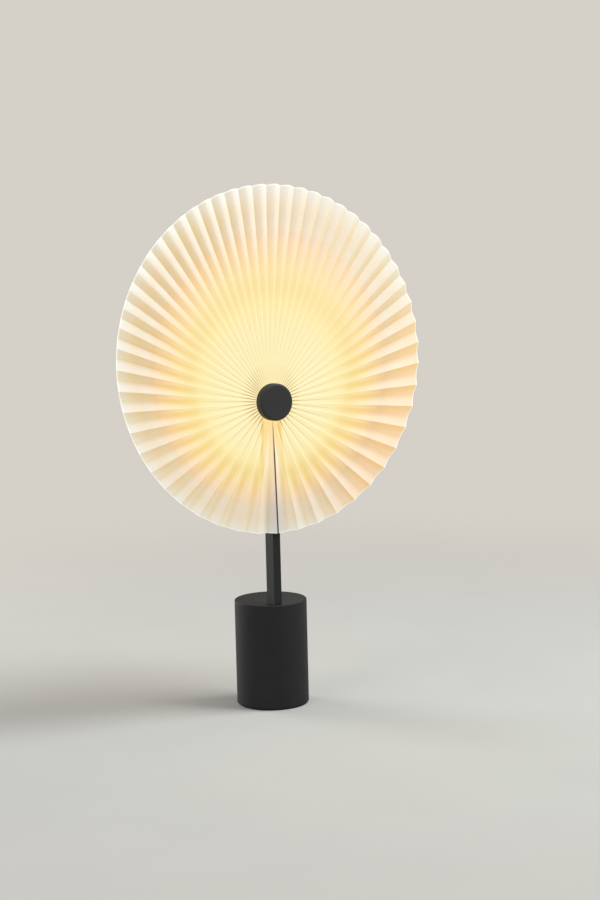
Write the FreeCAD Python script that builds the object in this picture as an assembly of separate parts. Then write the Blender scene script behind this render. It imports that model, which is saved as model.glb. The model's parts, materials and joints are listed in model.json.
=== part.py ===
import FreeCAD, Part
import math
import os

# A cordless table lamp: a weighted can stands on the table, a flat bar turns in its top near the rim,
# and a round pleated shade sits on a hub at the bar's upper end, in front of a small light head.
# Millimetres, +Z up, origin on the table under the middle of the can, the shade faces -Y.

# Fits and cuts
part_clearance = 0.15
pin_clearance = 0.05
run_clearance = 0.3
edge_tolerance = 0.01
overrun = 1.0

# Base can
base_diameter = 70.0
base_height = 102.8
shell_wall = 2.5
shell_top = 4.0
top_edge_radius = 1.2
bottom_edge_radius = 0.8
pad_thickness = 1.2
pad_inset = 2.0
plate_thickness = 3.0
ballast_thickness = 14.0

# Bosses inside the can that take the screws of the bottom plate
boss_count = 3
boss_start_deg = 30.0
boss_diameter = 9.0
boss_gap = 2.0
boss_root = 0.8

# Screws: a flat head for the plate, a pan head for the board and for the light head
screw_diameter = 3.0
screw_head_diameter = 5.6
screw_head_height = 1.7
plate_screw_length = 11.0
board_screw_diameter = 2.5
board_screw_head_diameter = 4.6
board_screw_head_height = 1.6
board_screw_depth = 4.0
drive_share = 0.5
drive_depth_share = 0.6

# Battery: two upright cells in a holder, as thick and as long as the can has room for
cell_share = 0.566
cell_head_room = 13.7
cell_gap = 1.0
cell_nose_diameter = 6.0
cell_nose_height = 1.0
tab_thickness = 0.3
tab_width = 8.0
holder_wall = 1.6
holder_floor = 1.6
holder_height_share = 0.69
standoff_diameter = 6.0
standoff_x = 13.0
standoff_length = 5.0
standoff_height_share = 0.62

# Control board behind the battery, with the charging inlet, the switch and the light pipe
board_width = 36.0
board_over_cells = 3.0
board_thickness = 1.6
board_lift = 4.0
usb_width = 8.94
usb_height = 3.26
usb_wall = 0.3
usb_depth = 6.5
usb_recess = 1.4
usb_lift = 16.0
usb_slot_gap = 0.35
tongue_width = 6.7
tongue_thickness = 0.7
tongue_length = 5.0
pipe_diameter = 2.6
pipe_lift = 30.0
button_lift = 46.0
button_diameter = 9.0
button_proud = 0.8
button_travel = 1.2
button_flange_diameter = 12.0
button_flange_thickness = 1.4
nib_diameter = 4.0
nib_length = 4.2
switch_size = 6.0
switch_height = 3.5
plunger_diameter = 3.4
plunger_length = 3.0
plunger_seat = 1.0

# Bar and its pivot in the top of the can
bar_width = 8.0
bar_depth = 15.0
bar_left_share = 0.26
bar_forward_share = 0.66
bar_edge_radius = 0.5
pivot_back = 3.2
wire_bore = 3.6
post_diameter = 6.0
post_reach = 14.0
post_tail = 0.6
bush_wall = 0.85
bush_proud = 0.3
bush_flange_diameter = 14.0
bush_flange_thickness = 1.5
washer_diameter = 12.0
washer_thickness = 0.8
nut_across = 11.0
nut_height = 4.0

# Wires: a pair through the bar, and a pair from the board to the pivot
wire_diameter = 1.3
wire_pitch = 1.6
wire_bend = 3.0
lead_bend = 2.0
lead_rise = 1.0
wire_gap = 0.5

# Hub and pleated shade
hub_height = 298.5
shade_lean_deg = 2.9
shade_radius = 165.4
hub_drop = 39.6
hub_side = 4.7
pleat_count = 54
crowding_share = 1.55
hub_pleat_radius = 14.0
hub_pleat_depth = 4.0
rim_depth_bottom = 2.4
rim_depth_top = 3.5
rim_drop_bottom = 0.8
rim_drop_top = 1.2
rim_growth_share = 2.5
sheet_rise = 0.6
hub_sheet_rise = 1.2
seam_gap_hub = 1.2
seam_gap_rim = 0.9
glue_gap = 0.3
strip_thickness = 1.0
strip_hub_inset = 8.0
strip_rim_inset = 3.0
strip_near_share = 0.08
strip_far_share = 0.5
magnet_diameter = 3.0
magnet_inset = 5.0
magnet_pitch = 12.0
magnet_count = 2
bar_seat_gap = 0.4
plane_lead = 8.0
bar_top_reach = 9.0
spindle_diameter = 14.0
stud_diameter = 5.0
stud_length = 5.0
collar_flange_diameter = 34.0
collar_flange_thickness = 1.0
cap_diameter = 35.4
cap_thickness = 8.4
cap_edge_radius = 2.4
cap_magnet_diameter = 10.0
cap_magnet_thickness = 2.0

# Light head behind the bar
head_diameter = 56.0
head_depth = 14.0
head_wall = 1.6
head_floor = 2.0
head_ledge = 1.2
head_edge_radius = 3.0
head_boss_diameter = 16.0
head_screw_spacing = 11.0
head_screw_reach = 5.0
diffuser_thickness = 2.0
diffuser_recess = 0.5
led_board_thickness = 1.6
led_count = 12
led_length = 3.5
led_width = 2.8
led_height = 0.8

# Levels and places worked out from the sizes above
base_radius = base_diameter / 2
inner_radius = base_radius - shell_wall
shell_bottom_z = pad_thickness
plate_top_z = shell_bottom_z + plate_thickness
ballast_top_z = plate_top_z + ballast_thickness
inner_top_z = base_height - shell_top
boss_top_z = ballast_top_z - boss_gap
boss_circle_radius = inner_radius - boss_diameter / 2 + boss_root
cell_diameter = inner_radius * cell_share
cell_bottom_z = ballast_top_z + holder_floor + tab_thickness
cell_top_z = inner_top_z - cell_head_room
cell_length = cell_top_z - cell_bottom_z
holder_height = cell_length * holder_height_share
board_height = cell_length + board_over_cells
button_flange_y = math.sqrt(inner_radius ** 2 - (button_flange_diameter / 2) ** 2) - run_clearance
plunger_tip_y = button_flange_y - button_flange_thickness - nib_length
plunger_back_y = plunger_tip_y - plunger_length
board_back_y = plunger_back_y + plunger_seat - switch_height
board_y = board_back_y - board_thickness
holder_back_y = board_y - standoff_length
cell_x = (cell_diameter + cell_gap) / 2
holder_half_x = cell_x + cell_diameter / 2 + part_clearance + holder_wall
holder_half_y = cell_diameter / 2 + part_clearance + holder_wall
cell_row_y = holder_back_y - holder_half_y
screw_hole_radius = screw_diameter / 2 + pin_clearance
board_screw_hole_radius = board_screw_diameter / 2 + pin_clearance
usb_z = ballast_top_z + usb_lift
pipe_z = ballast_top_z + pipe_lift
button_z = ballast_top_z + button_lift
standoff_z = ballast_top_z + holder_height * standoff_height_share
bar_x = -base_radius * bar_left_share
bar_y = -base_radius * bar_forward_share
bar_front_y = bar_y - bar_depth / 2
bar_back_y = bar_y + bar_depth / 2
bar_foot_z = base_height + bush_proud
bar_top_z = hub_height + bar_top_reach
pivot_y = bar_y + pivot_back
post_hole_radius = post_diameter / 2 + pin_clearance
bush_diameter = 2 * (post_hole_radius + bush_wall)
washer_top_z = inner_top_z - bush_flange_thickness
nut_top_z = washer_top_z - washer_thickness
post_bottom_z = nut_top_z - nut_height - post_tail
post_top_z = bar_foot_z + post_reach
lean = math.radians(shade_lean_deg)
seam_length = math.sqrt(shade_radius ** 2 - hub_side ** 2) - hub_drop
rim_bottom_z = hub_height - seam_length * math.cos(lean)
hub_seat = hub_pleat_depth / 2 + bar_seat_gap
plane_rise = hub_height - rim_bottom_z + plane_lead
hub_y = bar_front_y + plane_rise * math.tan(lean) - hub_seat / math.cos(lean)
collar_radius = hub_pleat_radius - glue_gap
flange_back = hub_pleat_depth / 2 + glue_gap
flange_front = flange_back + collar_flange_thickness
head_radius = head_diameter / 2
head_back_y = bar_back_y + head_depth
floor_y = head_back_y - head_floor
led_board_y = floor_y - led_board_thickness
diffuser_y = bar_back_y + diffuser_recess
head_cavity_radius = head_radius - head_wall - head_ledge
led_circle_radius = (head_cavity_radius + head_boss_diameter / 2) / 2
wire_turn_z = hub_height - (head_boss_diameter / 2 + wire_bore)


def cylinder_z(radius, z0, z1, x=0, y=0):
    """Upright round bar from z0 up to z1 about the line at x, y."""
    return Part.makeCylinder(radius, z1 - z0, FreeCAD.Vector(x, y, z0), FreeCAD.Vector(0, 0, 1))


def cylinder_y(radius, y0, y1, x, z):
    """Level round bar from y0 back to y1 about the line at x, z."""
    return Part.makeCylinder(radius, y1 - y0, FreeCAD.Vector(x, y0, z), FreeCAD.Vector(0, 1, 0))


def box(x0, x1, y0, y1, z0, z1):
    """Square block between two corners."""
    return Part.makeBox(x1 - x0, y1 - y0, z1 - z0, FreeCAD.Vector(x0, y0, z0))


def obround_y(width, height, y0, y1, z):
    """Level bar along Y with a slot-shaped section, centred on x = 0."""
    half_flat = (width - height) / 2
    radius = height / 2
    middle = box(-half_flat, half_flat, y0, y1, z - radius, z + radius)
    ends = [cylinder_y(radius, y0, y1, side * half_flat, z) for side in (-1, 1)]
    return middle.multiFuse(ends).removeSplitter()


def hexagon_z(across, z0, z1, x, y):
    """Upright hexagonal bar of a width across its flats."""
    corner = across / 2 / math.cos(math.pi / 6)
    points = []
    for turn in range(7):
        angle = turn * math.pi / 3
        points.append(FreeCAD.Vector(x + corner * math.cos(angle), y + corner * math.sin(angle), z0))
    face = Part.Face(Part.makePolygon(points))
    return face.extrude(FreeCAD.Vector(0, 0, z1 - z0))


def round_circle(shape, radius, circle_radius, level, axis):
    """Round the circular edges of one radius that lie at one level along an axis."""
    edges = []
    for edge in shape.Edges:
        box_of_edge = edge.BoundBox
        low = {"y": box_of_edge.YMin, "z": box_of_edge.ZMin}[axis]
        high = {"y": box_of_edge.YMax, "z": box_of_edge.ZMax}[axis]
        level_here = high - low < edge_tolerance and abs(low - level) < edge_tolerance
        if level_here and abs(edge.Curve.Radius - circle_radius) < edge_tolerance:
            edges.append(edge)
    return shape.makeFillet(radius, edges)


def flat_screw(length):
    """Countersunk screw along +Z with its head's face at z = 0."""
    head = Part.makeCone(screw_head_diameter / 2, screw_diameter / 2, screw_head_height)
    shank = cylinder_z(screw_diameter / 2, 0, length)
    drive_depth = screw_head_height * drive_depth_share
    drive = hexagon_z(screw_diameter * drive_share, -overrun, drive_depth, 0, 0)
    return head.fuse(shank).cut(drive)


def pan_screw(diameter, head_diameter_here, head_height, length):
    """Pan-head screw along +Z with the seat of its head at z = 0."""
    head = cylinder_z(head_diameter_here / 2, -head_height, 0)
    shank = cylinder_z(diameter / 2, 0, length)
    drive_depth = head_height * drive_depth_share
    drive = hexagon_z(diameter * drive_share, -head_height - overrun, drive_depth - head_height, 0, 0)
    return head.fuse(shank).cut(drive)


def turned_forward(shape, x, y, z):
    """Put a shape made along +Z at a point, pointing to -Y."""
    moved = shape.copy()
    moved.Placement = FreeCAD.Placement(
        FreeCAD.Vector(x, y, z), FreeCAD.Rotation(FreeCAD.Vector(1, 0, 0), 90))
    return moved


def on_hub(shape):
    """Put a shape from the hub's frame (X right, Y up, Z out of the shade's front) on the leaning hub."""
    moved = shape.copy()
    moved.Placement = FreeCAD.Placement(
        FreeCAD.Vector(bar_x, hub_y, hub_height),
        FreeCAD.Rotation(FreeCAD.Vector(1, 0, 0), 90 - shade_lean_deg))
    return moved


def boss_places():
    """Middles of the screw bosses round the can."""
    places = []
    for number in range(boss_count):
        angle = math.radians(boss_start_deg + number * 360 / boss_count)
        places.append((boss_circle_radius * math.cos(angle), boss_circle_radius * math.sin(angle)))
    return places


def make_base_shell():
    """Can with a closed top, screw bosses, and its openings for pivot, inlet, light pipe and button."""
    shell = cylinder_z(base_radius, shell_bottom_z, base_height)
    shell = round_circle(shell, top_edge_radius, base_radius, base_height, "z")
    shell = round_circle(shell, bottom_edge_radius, base_radius, shell_bottom_z, "z")
    shell = shell.cut(cylinder_z(inner_radius, shell_bottom_z - overrun, inner_top_z))
    outside = cylinder_z(inner_radius + boss_root, shell_bottom_z, inner_top_z)
    for x, y in boss_places():
        boss = cylinder_z(boss_diameter / 2, plate_top_z, boss_top_z, x, y)
        shell = shell.fuse(boss.common(outside))
    for x, y in boss_places():
        hole_top = shell_bottom_z + plate_screw_length + part_clearance
        shell = shell.cut(cylinder_z(screw_hole_radius, plate_top_z - overrun, hole_top, x, y))
    bush_hole = bush_diameter / 2 + pin_clearance
    shell = shell.cut(cylinder_z(bush_hole, inner_top_z - overrun, base_height + overrun, bar_x, pivot_y))
    outer_y = base_radius + overrun
    wall_y = board_back_y + switch_height
    slot_width = usb_width + 2 * usb_slot_gap
    slot_height = usb_height + 2 * usb_slot_gap
    shell = shell.cut(obround_y(slot_width, slot_height, wall_y, outer_y, usb_z))
    shell = shell.cut(cylinder_y(pipe_diameter / 2 + pin_clearance, wall_y, outer_y, 0, pipe_z))
    shell = shell.cut(cylinder_y(button_diameter / 2 + run_clearance, wall_y, outer_y, 0, button_z))
    return shell.removeSplitter()


def make_foot_pad():
    """Soft disc stuck under the plate, the face that the lamp rests on."""
    return cylinder_z(base_radius - pad_inset, 0, pad_thickness)


def make_bottom_plate():
    """Round plate that closes the can, countersunk for its screws."""
    plate = cylinder_z(inner_radius - part_clearance, shell_bottom_z, plate_top_z)
    for x, y in boss_places():
        hole = cylinder_z(screw_hole_radius, shell_bottom_z - overrun, plate_top_z + overrun, x, y)
        sink = Part.makeCone(
            screw_head_diameter / 2 + pin_clearance, screw_hole_radius, screw_head_height,
            FreeCAD.Vector(x, y, shell_bottom_z))
        plate = plate.cut(hole).cut(sink)
    return plate


def make_plate_screws():
    """Flat-head screws through the plate into the bosses."""
    screws = []
    for x, y in boss_places():
        screw = flat_screw(plate_screw_length)
        screw.Placement.Base = FreeCAD.Vector(x, y, shell_bottom_z)
        screws.append(screw)
    return Part.makeCompound(screws)


def make_ballast():
    """Steel disc that lies on the plate, notched round the bosses."""
    disc = cylinder_z(inner_radius - part_clearance, plate_top_z, ballast_top_z)
    for x, y in boss_places():
        notch = boss_diameter / 2 + run_clearance
        disc = disc.cut(cylinder_z(notch, plate_top_z - overrun, ballast_top_z + overrun, x, y))
    return disc


def make_battery_holder():
    """Block with two bores for the cells, room for the strip under them and two standoffs for the board."""
    top_z = ballast_top_z + holder_height
    floor_z = ballast_top_z + holder_floor
    front_y = cell_row_y - holder_half_y
    holder = box(-holder_half_x, holder_half_x, front_y, holder_back_y, ballast_top_z, top_z)
    half_tab = tab_width / 2 + part_clearance
    holder = holder.cut(
        box(-cell_x, cell_x, cell_row_y - half_tab, cell_row_y + half_tab, floor_z, cell_bottom_z))
    for side in (-1, 1):
        bore = cell_diameter / 2 + part_clearance
        holder = holder.cut(cylinder_z(bore, floor_z, top_z + overrun, side * cell_x, cell_row_y))
    for side in (-1, 1):
        x = side * standoff_x
        holder = holder.fuse(cylinder_y(standoff_diameter / 2, holder_back_y, board_y, x, standoff_z))
        start_y = board_y - board_screw_depth - part_clearance
        holder = holder.cut(cylinder_y(board_screw_hole_radius, start_y, board_y + overrun, x, standoff_z))
    return holder


def make_battery_cells():
    """Two round cells, one of them the other way up, each with its raised contact."""
    cells = []
    for side in (-1, 1):
        nose = cell_nose_diameter / 2
        x = side * cell_x
        if side > 0:
            can = cylinder_z(cell_diameter / 2, cell_bottom_z, cell_top_z - cell_nose_height, x, cell_row_y)
            tip = cylinder_z(nose, cell_top_z - cell_nose_height, cell_top_z, x, cell_row_y)
        else:
            can = cylinder_z(cell_diameter / 2, cell_bottom_z + cell_nose_height, cell_top_z, x, cell_row_y)
            tip = cylinder_z(nose, cell_bottom_z, cell_bottom_z + cell_nose_height, x, cell_row_y)
        cells.append(can.fuse(tip))
    return Part.makeCompound(cells)


def make_cell_tabs():
    """Strips that join the two cells, one under them and one on top."""
    tabs = []
    half_tab = tab_width / 2
    for z0 in (cell_bottom_z - tab_thickness, cell_top_z):
        z1 = z0 + tab_thickness
        tabs.append(box(-cell_x, cell_x, cell_row_y - half_tab, cell_row_y + half_tab, z0, z1))
    return Part.makeCompound(tabs)


def make_control_board():
    """Upright circuit board on the holder's standoffs."""
    z0 = ballast_top_z + board_lift
    board = box(-board_width / 2, board_width / 2, board_y, board_back_y, z0, z0 + board_height)
    for side in (-1, 1):
        x = side * standoff_x
        hole = cylinder_y(board_screw_hole_radius, board_y - overrun, board_back_y + overrun, x, standoff_z)
        board = board.cut(hole)
    return board


def make_board_screws():
    """Pan-head screws through the board into the standoffs."""
    screws = []
    for side in (-1, 1):
        length = board_thickness + board_screw_depth
        screw = pan_screw(board_screw_diameter, board_screw_head_diameter, board_screw_head_height, length)
        screws.append(turned_forward(screw, side * standoff_x, board_back_y, standoff_z))
    return Part.makeCompound(screws)


def make_usb_socket():
    """Charging inlet: a slot-shaped metal sleeve with a tongue, on the board and in the can's wall."""
    front = base_radius - usb_recess
    sleeve = obround_y(usb_width, usb_height, board_back_y, front, usb_z)
    hollow = obround_y(
        usb_width - 2 * usb_wall, usb_height - 2 * usb_wall, front - usb_depth, front + overrun, usb_z)
    half_width = tongue_width / 2
    half_thickness = tongue_thickness / 2
    root = front - usb_depth
    tongue = box(
        -half_width, half_width, root - usb_wall, root + tongue_length,
        usb_z - half_thickness, usb_z + half_thickness)
    return sleeve.cut(hollow).fuse(tongue)


def make_light_pipe():
    """Clear rod that shows the charging light, cut flush with the can."""
    rod = cylinder_y(pipe_diameter / 2, board_back_y, base_radius + overrun, 0, pipe_z)
    return rod.common(cylinder_z(base_radius, 0, base_height))


def make_tact_switch():
    """Body of the switch on the board, with the bore of its plunger."""
    half = switch_size / 2
    body = box(-half, half, board_back_y, board_back_y + switch_height, button_z - half, button_z + half)
    bore = plunger_diameter / 2 + run_clearance
    bore_y = plunger_back_y - button_travel - run_clearance
    return body.cut(cylinder_y(bore, bore_y, board_back_y + switch_height + overrun, 0, button_z))


def make_switch_plunger():
    """Plunger of the switch, which travels with the button."""
    return cylinder_y(plunger_diameter / 2, plunger_back_y, plunger_tip_y, 0, button_z)


def make_power_button():
    """Round button in the back of the can, curved like it, with a flange inside and a nib behind."""
    face = cylinder_z(base_radius + button_proud, 0, base_height)
    key = cylinder_y(button_diameter / 2, button_flange_y, base_radius + overrun, 0, button_z).common(face)
    flange_back_y = button_flange_y - button_flange_thickness
    flange = cylinder_y(button_flange_diameter / 2, flange_back_y, button_flange_y, 0, button_z)
    nib = cylinder_y(nib_diameter / 2, plunger_tip_y, flange_back_y, 0, button_z)
    return key.multiFuse([flange, nib]).removeSplitter()


def make_pivot_bush():
    """Flanged plastic sleeve in the can's top, a little proud of it, that the bar's foot stands on."""
    sleeve = cylinder_z(bush_diameter / 2, washer_top_z, bar_foot_z, bar_x, pivot_y)
    flange = cylinder_z(bush_flange_diameter / 2, washer_top_z, inner_top_z, bar_x, pivot_y)
    bore = cylinder_z(post_hole_radius, washer_top_z - overrun, bar_foot_z + overrun, bar_x, pivot_y)
    return sleeve.fuse(flange).cut(bore)


def make_pivot_post():
    """Hollow post screwed into the bar's foot, on which the bar turns."""
    post = cylinder_z(post_diameter / 2, post_bottom_z, post_top_z, bar_x, pivot_y)
    bore = cylinder_z(wire_bore / 2, post_bottom_z - overrun, post_top_z + overrun, bar_x, pivot_y)
    return post.cut(bore)


def make_friction_washer():
    """Washer between the bush and the nut, which gives the turn its drag."""
    ring = cylinder_z(washer_diameter / 2, nut_top_z, washer_top_z, bar_x, pivot_y)
    return ring.cut(cylinder_z(post_hole_radius, nut_top_z - overrun, washer_top_z + overrun, bar_x, pivot_y))


def make_pivot_nut():
    """Hexagonal nut on the post's lower end."""
    nut = hexagon_z(nut_across, nut_top_z - nut_height, nut_top_z, bar_x, pivot_y)
    return nut.cut(cylinder_z(post_hole_radius, post_bottom_z - overrun, nut_top_z + overrun, bar_x, pivot_y))


def head_screw_levels():
    """Heights of the two screws that hold the light head on the bar."""
    return (hub_height - head_screw_spacing / 2, hub_height + head_screw_spacing / 2)


def make_stem_bar():
    """Flat upright bar, planed back behind the shade, bored for its post, the wires and the fixings."""
    half = bar_width / 2
    bar = box(bar_x - half, bar_x + half, bar_front_y, bar_back_y, bar_foot_z, bar_top_z)
    upright = [edge for edge in bar.Edges if edge.BoundBox.ZLength > bar_depth]
    bar = bar.makeFillet(bar_edge_radius, upright)
    reach = plane_rise + bar_depth
    front = on_hub(box(-bar_depth, bar_depth, -reach, reach, -hub_seat, bar_depth))
    bar = bar.cut(front)
    bar = bar.cut(cylinder_z(post_hole_radius, bar_foot_z - overrun, post_top_z, bar_x, pivot_y))
    bar = bar.cut(cylinder_z(wire_bore / 2, bar_foot_z, wire_turn_z + wire_bore / 2, bar_x, pivot_y))
    bar = bar.cut(cylinder_y(wire_bore / 2, pivot_y, bar_back_y + overrun, bar_x, wire_turn_z))
    for z in head_screw_levels():
        start = bar_back_y - head_screw_reach - part_clearance
        bar = bar.cut(cylinder_y(screw_hole_radius, start, bar_back_y + overrun, bar_x, z))
    stud_hole = cylinder_z(stud_diameter / 2 + pin_clearance, -hub_seat - stud_length - part_clearance, 0)
    return bar.cut(on_hub(stud_hole))


def wire_along(points, bend):
    """Round wire along two straight runs joined by an arc, from its start, corner and end points."""
    start, corner, end = points
    into = (corner - start).normalize()
    out = (end - corner).normalize()
    before = corner - into * bend
    after = corner + out * bend
    centre = before + out * bend
    middle = centre + (corner - centre).normalize() * bend
    runs = [
        Part.LineSegment(start, before).toShape(),
        Part.Arc(before, middle, after).toShape(),
        Part.LineSegment(after, end).toShape()]
    section = Part.Wire([Part.Circle(start, into, wire_diameter / 2).toShape()])
    return Part.Wire(runs).makePipeShell([section], True, False)


def make_stem_wires():
    """Two wires up through the post and the bar and back to the light board."""
    wires = []
    for side in (-1, 1):
        x = bar_x + side * wire_pitch / 2
        start = FreeCAD.Vector(x, pivot_y, post_bottom_z - wire_gap)
        corner = FreeCAD.Vector(x, pivot_y, wire_turn_z)
        end = FreeCAD.Vector(x, led_board_y, wire_turn_z)
        wires.append(wire_along((start, corner, end), wire_bend))
    return Part.makeCompound(wires)


def make_base_leads():
    """Two leads from the board to the foot of the pivot, just short of the wires that turn."""
    leads = []
    top = post_bottom_z - 2 * wire_gap
    level = top - lead_rise - lead_bend
    for side in (-1, 1):
        x = bar_x + side * wire_pitch / 2
        start = FreeCAD.Vector(x, pivot_y, top)
        corner = FreeCAD.Vector(x, pivot_y, level)
        end = FreeCAD.Vector(x, board_y, level)
        leads.append(wire_along((start, corner, end), lead_bend))
    return Part.makeCompound(leads)


def make_head_housing():
    """Round dish of the light head with a boss in the middle that meets the bar."""
    dish = cylinder_y(head_radius, bar_back_y, head_back_y, bar_x, hub_height)
    dish = round_circle(dish, head_edge_radius, head_radius, head_back_y, "y")
    dish = dish.cut(cylinder_y(head_cavity_radius, bar_back_y - overrun, floor_y, bar_x, hub_height))
    seat_y = diffuser_y + diffuser_thickness
    dish = dish.cut(cylinder_y(head_radius - head_wall, bar_back_y - overrun, seat_y, bar_x, hub_height))
    dish = dish.fuse(cylinder_y(head_boss_diameter / 2, bar_back_y, floor_y, bar_x, hub_height))
    for z in head_screw_levels():
        hole = cylinder_y(screw_hole_radius, bar_back_y - overrun, head_back_y + overrun, bar_x, z)
        dish = dish.cut(hole)
    return dish.removeSplitter()


def make_head_screws():
    """Pan-head screws from the back of the light head into the bar."""
    screws = []
    for z in head_screw_levels():
        length = head_depth + head_screw_reach
        screw = pan_screw(screw_diameter, screw_head_diameter, screw_head_height, length)
        screws.append(turned_forward(screw, bar_x, head_back_y, z))
    return Part.makeCompound(screws)


def make_led_board():
    """Ring-shaped light board on the floor of the light head."""
    ring = cylinder_y(head_cavity_radius - part_clearance, led_board_y, floor_y, bar_x, hub_height)
    hole = head_boss_diameter / 2 + part_clearance
    return ring.cut(cylinder_y(hole, led_board_y - overrun, floor_y + overrun, bar_x, hub_height))


def make_leds():
    """Small light chips in a circle on the board."""
    chips = []
    centre = FreeCAD.Vector(bar_x, led_board_y, hub_height)
    for number in range(led_count):
        z0 = hub_height + led_circle_radius
        half_length = led_length / 2
        half_width = led_width / 2
        chip = box(
            bar_x - half_length, bar_x + half_length, led_board_y - led_height, led_board_y,
            z0 - half_width, z0 + half_width)
        chip.rotate(centre, FreeCAD.Vector(0, 1, 0), (2 * number + 1) * 180 / led_count)
        chips.append(chip)
    return Part.makeCompound(chips)


def make_diffuser():
    """Opal ring on the ledge of the light head, with a hole for the wires."""
    seat_y = diffuser_y + diffuser_thickness
    ring = cylinder_y(head_radius - head_wall - part_clearance, diffuser_y, seat_y, bar_x, hub_height)
    boss_hole = head_boss_diameter / 2 + part_clearance
    ring = ring.cut(cylinder_y(boss_hole, diffuser_y - overrun, seat_y + overrun, bar_x, hub_height))
    return ring.cut(cylinder_y(wire_bore / 2, diffuser_y - overrun, seat_y + overrun, bar_x, wire_turn_z))


def make_hub_spindle():
    """Steel post on the bar that carries the shade's collar, with a stud into the bar."""
    post = cylinder_z(spindle_diameter / 2, -hub_seat, flange_front - run_clearance)
    stud = cylinder_z(stud_diameter / 2, -hub_seat - stud_length, -hub_seat)
    return on_hub(post.fuse(stud))


def fold_angle(fold):
    """Angle of a fold from straight down, crowded towards the top of the shade."""
    half_turn = math.pi * fold / (2 * pleat_count)
    return 2 * math.atan2(crowding_share * math.sin(half_turn), math.cos(half_turn))


def rim_distance(angle):
    """Distance from the hub to the rim, a circle with its middle above the hub and a little to the right."""
    along = hub_side * math.sin(angle) - hub_drop * math.cos(angle)
    return along + math.sqrt(shade_radius ** 2 - hub_side ** 2 - hub_drop ** 2 + along ** 2)


def rim_size(angle, bottom, top):
    """A size at the rim that grows from the bottom of the shade to its top, where the folds are crowded."""
    upward = (1 - math.cos(angle)) / 2
    return bottom + (top - bottom) * upward ** rim_growth_share


def fold_line(fold):
    """Four corners of the sheet along a fold: front skin at hub and rim, then back skin at hub and rim."""
    angle = fold_angle(fold)
    front = fold % 2 == 0
    rim_radius = rim_distance(angle)
    if not front:
        rim_radius = rim_radius - rim_size(angle, rim_drop_bottom, rim_drop_top)
    rim_depth = rim_size(angle, rim_depth_bottom, rim_depth_top)
    side = {0: 1, 2 * pleat_count: -1}.get(fold, 0)
    hub_end = (hub_pleat_radius, hub_pleat_depth, hub_sheet_rise, seam_gap_hub)
    rim_end = (rim_radius, rim_depth, sheet_rise, seam_gap_rim)
    front_skin = []
    back_skin = []
    for radius, depth, rise, gap in (hub_end, rim_end):
        x = radius * math.sin(angle) + side * gap / 2
        y = -radius * math.cos(angle)
        high = depth / 2 if front else rise - depth / 2
        front_skin.append(FreeCAD.Vector(x, y, high))
        back_skin.append(FreeCAD.Vector(x, y, high - rise))
    return front_skin + back_skin


def split_patch(corners, turn):
    """Two flat faces that fill a four-cornered patch, split from its first corner after the turn."""
    a, b, c, d = corners[turn:] + corners[:turn]
    return [Part.Face(Part.makePolygon([a, b, c, a])), Part.Face(Part.makePolygon([a, c, d, a]))]


def sheet_solid(lines):
    """Closed solid of a sheet from its corners along neighbouring lines.

    Each skin is split from the hub corner of the line further forward, so both sides of a fold match.
    """
    faces = []
    for near, far in zip(lines[:-1], lines[1:]):
        turn = 0 if near[0].z >= far[0].z else 1
        faces += split_patch([near[0], near[1], far[1], far[0]], turn)
        faces += split_patch([near[2], far[2], far[3], near[3]], turn)
        faces += split_patch([near[0], far[0], far[2], near[2]], 0)
        faces += split_patch([near[1], near[3], far[3], far[1]], 0)
    first = lines[0]
    last = lines[-1]
    faces += split_patch([first[0], first[2], first[3], first[1]], 0)
    faces += split_patch([last[0], last[1], last[3], last[2]], 0)
    solid = Part.makeSolid(Part.makeShell(faces))
    if solid.Volume < 0:
        solid.reverse()
    return solid


def make_pleated_shade():
    """Sheet in straight pleats all round the hub, open along one seam straight below it."""
    return on_hub(sheet_solid([fold_line(fold) for fold in range(2 * pleat_count + 1)]))


def strip_lines(seam_fold, next_fold):
    """Corners of the stiff strip behind an end panel, along its edge by the seam and along its other edge."""
    seam = fold_line(seam_fold)
    beside = fold_line(next_fold)
    top = FreeCAD.Vector(0, 0, -glue_gap)
    bottom = FreeCAD.Vector(0, 0, -glue_gap - strip_thickness)
    lines = []
    for share in (strip_near_share, strip_far_share):
        hub_point = seam[2] + (beside[2] - seam[2]) * share
        rim_point = seam[3] + (beside[3] - seam[3]) * share
        along = (rim_point - hub_point).normalize()
        inner = hub_point + along * strip_hub_inset
        outer = rim_point - along * strip_rim_inset
        lines.append((inner + top, outer + top, inner + bottom, outer + bottom))
    return lines


def strip_pairs():
    """Corners of both strips, one on each side of the seam."""
    last = 2 * pleat_count
    return (strip_lines(0, 1), strip_lines(last, last - 1))


def magnet_rods(lines, radius):
    """Rods through a strip at its magnets' places, counted from its rim end."""
    near, far = lines
    inner = (near[0] + far[0]) / 2
    outer = (near[1] + far[1]) / 2
    along = (inner - outer).normalize()
    rods = []
    for number in range(magnet_count):
        place = outer + along * (magnet_inset + number * magnet_pitch)
        rods.append(cylinder_z(radius, place.z - magnet_pitch, place.z + magnet_pitch, place.x, place.y))
    return rods


def make_seam_strips():
    """Stiff strips at the seam, holed for their magnets."""
    strips = []
    for lines in strip_pairs():
        strip = sheet_solid(lines)
        for rod in magnet_rods(lines, magnet_diameter / 2 + pin_clearance):
            strip = strip.cut(rod)
        strips.append(on_hub(strip))
    return Part.makeCompound(strips)


def make_seam_magnets():
    """Magnets in the strips that hold the two ends of the shade together."""
    magnets = []
    for lines in strip_pairs():
        strip = sheet_solid(lines)
        for rod in magnet_rods(lines, magnet_diameter / 2):
            magnets.append(on_hub(strip.common(rod)))
    return Part.makeCompound(magnets)


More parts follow.
